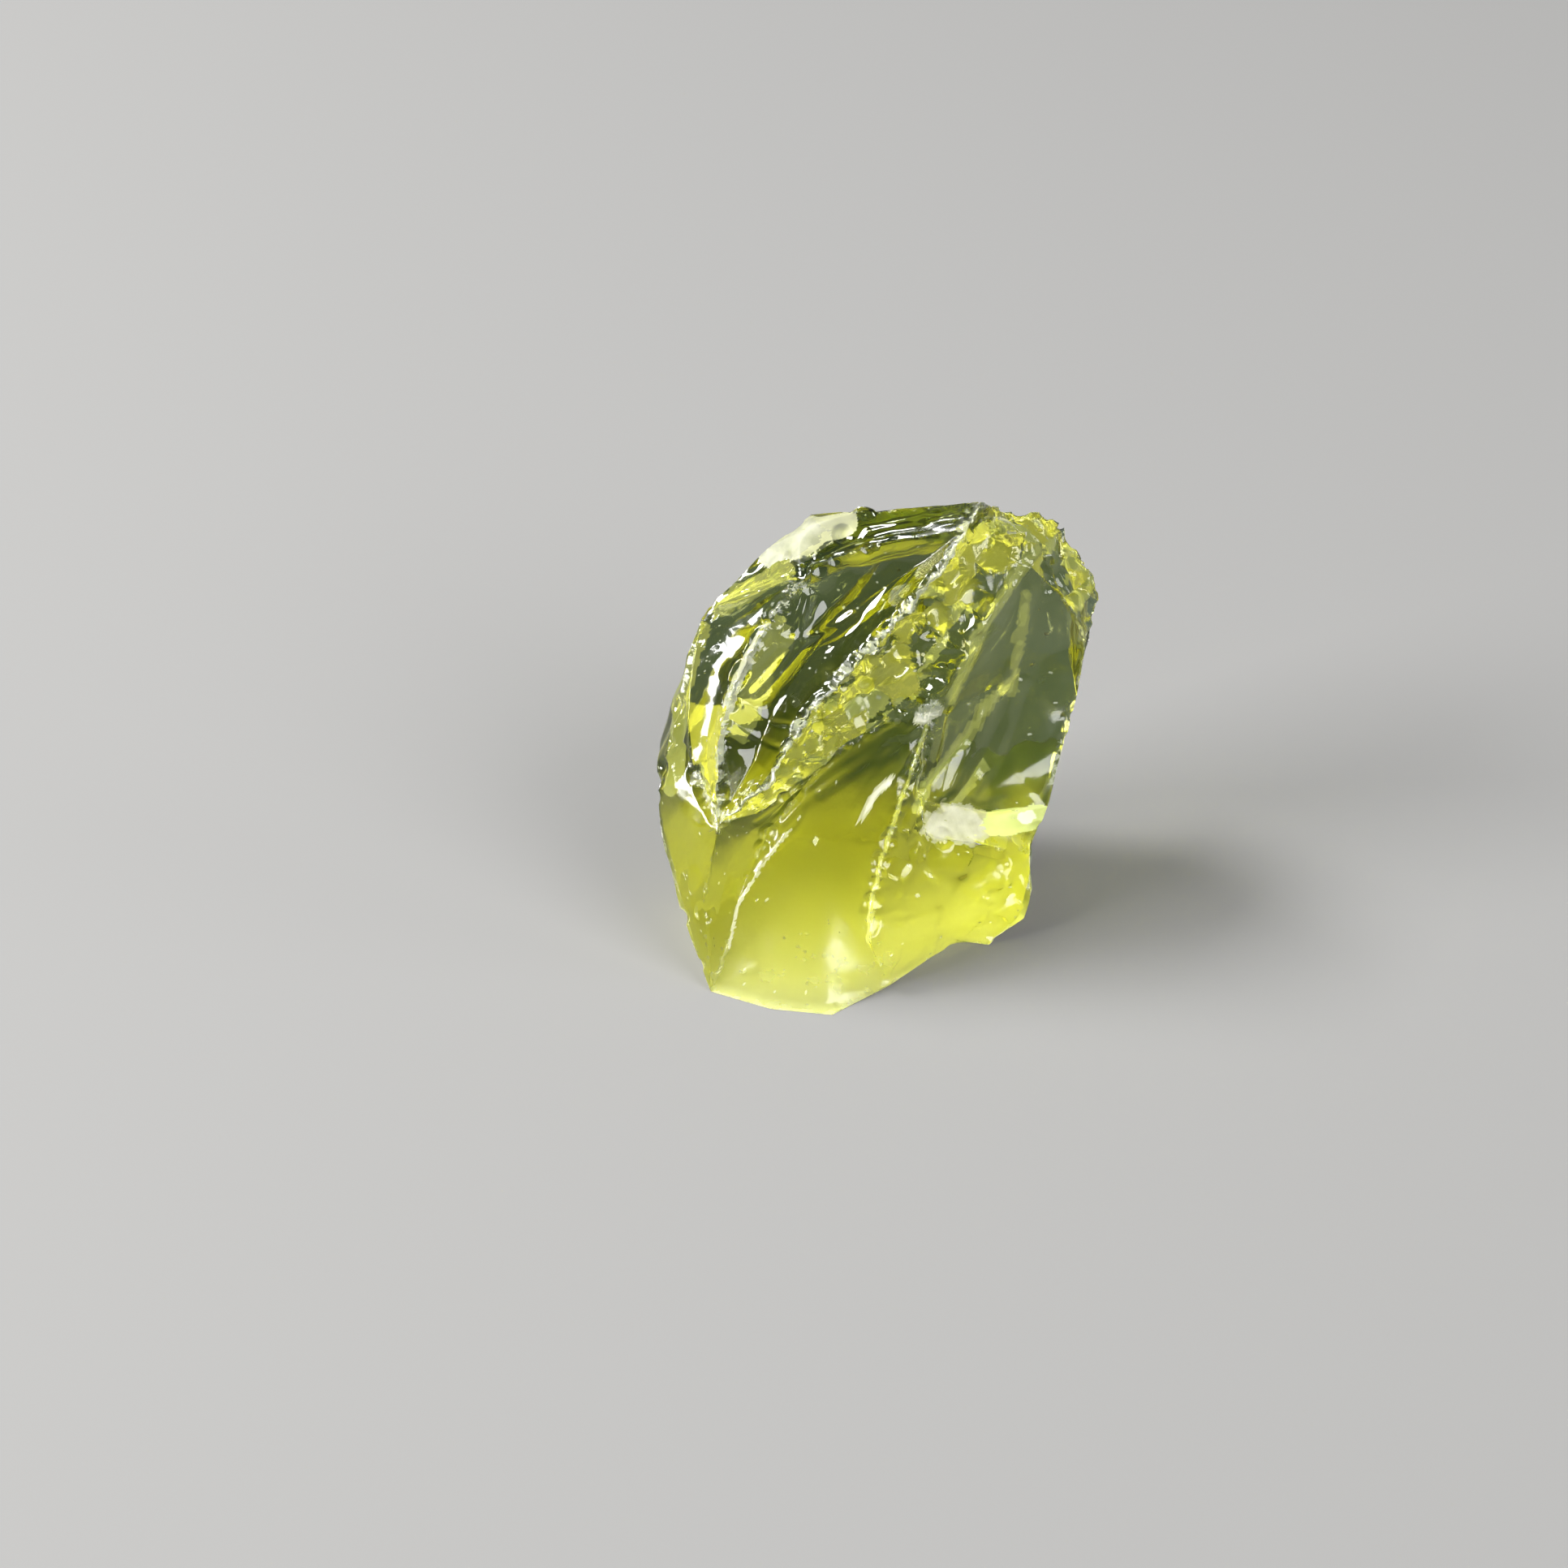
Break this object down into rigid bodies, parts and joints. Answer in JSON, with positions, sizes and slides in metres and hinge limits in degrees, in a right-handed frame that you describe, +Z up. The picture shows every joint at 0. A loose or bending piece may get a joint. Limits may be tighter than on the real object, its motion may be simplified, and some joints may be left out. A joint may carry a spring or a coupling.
{
  "type": "raw prasiolite",
  "caption": "Rough broken piece of clear yellow-green quartz with shell-shaped fracture scars and jagged ridges, resting on a flat base.",
  "frame": {"origin": "middle of the bounding box's underside, on the plane that the piece rests on", "axes": "+Z up, +X to the right and -Y towards the viewer of the tall front face; the jagged main ridge runs from the peak at upper right down to the left"},
  "size_m": [0.0306, 0.0274, 0.03],
  "materials": {
    "quartz": "clear and glossy above, frosted below"
  },
  "bodies": {
    "root": {"prasiolite": "quartz"}
  },
  "joints": []
}
